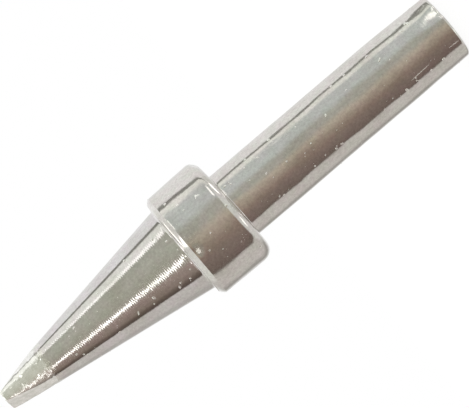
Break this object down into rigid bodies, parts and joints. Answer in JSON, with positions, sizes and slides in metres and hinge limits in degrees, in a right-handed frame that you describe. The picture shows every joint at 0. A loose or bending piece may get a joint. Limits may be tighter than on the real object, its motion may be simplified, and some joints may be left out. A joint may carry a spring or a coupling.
{
  "type": "soldering iron tip",
  "caption": "Hollow soldering iron tip with a chisel point, cone, wide rounded collar and straight shank; plated, tinned at the point, and used.",
  "frame": {"origin": "centre of the rear end face, in the mouth of the heater bore", "axes": "+Z along the axis, from the rear end to the point; X along the blade of the chisel; the deeper flat of the chisel faces +Y"},
  "size_m": [0.009, 0.009, 0.0425],
  "materials": {
    "plated_metal": "polished"
  },
  "bodies": {
    "root": {"iron_tip": "plated_metal"}
  },
  "joints": []
}
